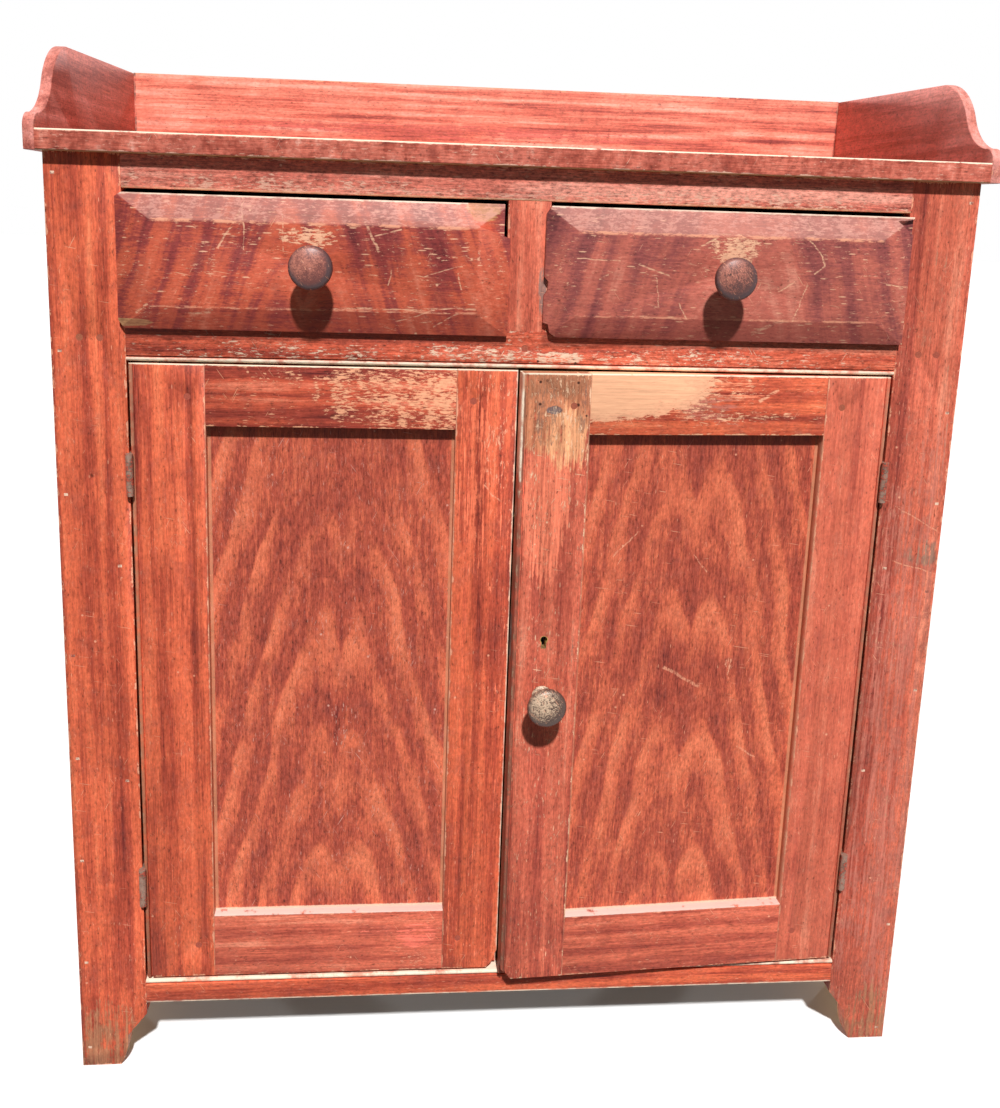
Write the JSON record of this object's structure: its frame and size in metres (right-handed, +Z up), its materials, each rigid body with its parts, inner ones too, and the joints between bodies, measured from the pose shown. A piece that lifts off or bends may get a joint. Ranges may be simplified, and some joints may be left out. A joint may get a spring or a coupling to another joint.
{
  "type": "jelly cupboard",
  "caption": "Tall narrow-depth cupboard with a low gallery, lipped drawers over framed panel doors on butt hinges, shelves behind, and shaped feet; the right door stands ajar.",
  "frame": {"origin": "bottom centre of the whole object's bounding box, on the floor, with the right door in its rest pose, a few degrees ajar", "axes": "+Z up, -Y out of the front, +X to the right as one faces the front"},
  "size_m": [1.099, 0.5367, 1.28],
  "materials": {
    "frame_paint": "worn red-orange grain paint, satin",
    "frame_paint_dark": "dark red grain paint, satin",
    "door_paint": "worn red-orange grain paint, satin",
    "panel_paint": "red-orange flame graining, satin",
    "drawer_paint": "dark red feather graining, satin",
    "gallery_paint": "bright salmon grain paint, satin",
    "gallery_paint_dark": "dark red grain paint, satin",
    "side_paint": "red-brown paint, satin",
    "bare_pine": "unfinished aged pine",
    "drawer_pine": "unfinished aged pine",
    "wood_peg": "painted-over wooden pegs",
    "knob_wood": "turned hardwood, handled to a dull polish",
    "knob_dark": "blackened turned hardwood",
    "iron": "worn dark iron",
    "screw_iron": "dark iron screws",
    "lock_iron": "dark sheet iron",
    "brass_bolt": "dull brass"
  },
  "bodies": {
    "case": {"back_boards": "bare_pine", "bottom_board": "bare_pine", "bottom_rail": "frame_paint", "cut_nails": "iron", "drawer_kickers": "bare_pine", "drawer_muntin": "frame_paint", "drawer_runners": "bare_pine", "frame_pegs": "wood_peg", "gallery_back": "gallery_paint", "gallery_side_left": "gallery_paint_dark", "gallery_side_right": "gallery_paint_dark", "hinge_frame_leaves": "iron", "hinge_pins": "iron", "hinge_screws_frame": "screw_iron", "mid_rail": "frame_paint", "rear_rail": "bare_pine", "shelf_cleats": "bare_pine", "shelf_lower": "bare_pine", "shelf_upper": "bare_pine", "side_left": "side_paint", "side_right": "side_paint", "stile_left": "frame_paint", "stile_right": "frame_paint", "top_board": "gallery_paint_dark", "top_rail": "frame_paint_dark"},
    "drawer_left": {"drawer_left_back": "drawer_pine", "drawer_left_bottom": "drawer_pine", "drawer_left_front": "drawer_paint", "drawer_left_knob": "knob_wood", "drawer_left_side_left": "drawer_pine", "drawer_left_side_right": "drawer_pine"},
    "drawer_right": {"drawer_right_back": "drawer_pine", "drawer_right_bottom": "drawer_pine", "drawer_right_front": "drawer_paint", "drawer_right_knob": "knob_wood", "drawer_right_side_left": "drawer_pine", "drawer_right_side_right": "drawer_pine"},
    "door_left": {"door_left_bolt_plate": "iron", "door_left_bottom_rail": "door_paint", "door_left_hinge_leaves": "iron", "door_left_hinge_screws": "screw_iron", "door_left_hinge_stile": "door_paint", "door_left_meeting_stile": "door_paint", "door_left_panel": "panel_paint", "door_left_pegs": "wood_peg", "door_left_top_rail": "door_paint"},
    "door_right": {"door_right_bottom_rail": "door_paint", "door_right_hinge_leaves": "iron", "door_right_hinge_screws": "screw_iron", "door_right_hinge_stile": "door_paint", "door_right_keyhole_liner": "lock_iron", "door_right_knob": "knob_dark", "door_right_lock_case": "lock_iron", "door_right_lock_plate": "lock_iron", "door_right_meeting_stile": "door_paint", "door_right_panel": "panel_paint", "door_right_pegs": "wood_peg", "door_right_top_rail": "door_paint"},
    "slide_bolt": {"door_left_slide_bolt": "iron"},
    "lock_bolt": {"door_right_lock_bolt": "brass_bolt"}
  },
  "joints": [
    {"name": "drawer_left_slide", "type": "slide", "parent": "case", "child": "drawer_left", "axis": [0, -1, 0], "range_m": [0, 0.32]},
    {"name": "drawer_right_slide", "type": "slide", "parent": "case", "child": "drawer_right", "axis": [0, -1, 0], "range_m": [0, 0.32]},
    {"name": "door_left_hinge", "type": "hinge", "parent": "case", "child": "door_left", "pos_m": [-0.4505, -0.20619, 0.5205], "axis": [0, 0, -1], "range_deg": [0, 175]},
    {"name": "door_right_hinge", "type": "hinge", "parent": "case", "child": "door_right", "pos_m": [0.4505, -0.20619, 0.5205], "axis": [0, 0, 1], "range_deg": [-3, 172]},
    {"name": "slide_bolt_lift", "type": "slide", "parent": "door_left", "child": "slide_bolt", "axis": [0, 0, 1], "range_m": [0, 0.012]},
    {"name": "lock_bolt_slide", "type": "slide", "parent": "door_right", "child": "lock_bolt", "axis": [-0.9986, -0.0523, 0], "range_m": [0, 0.009]}
  ]
}
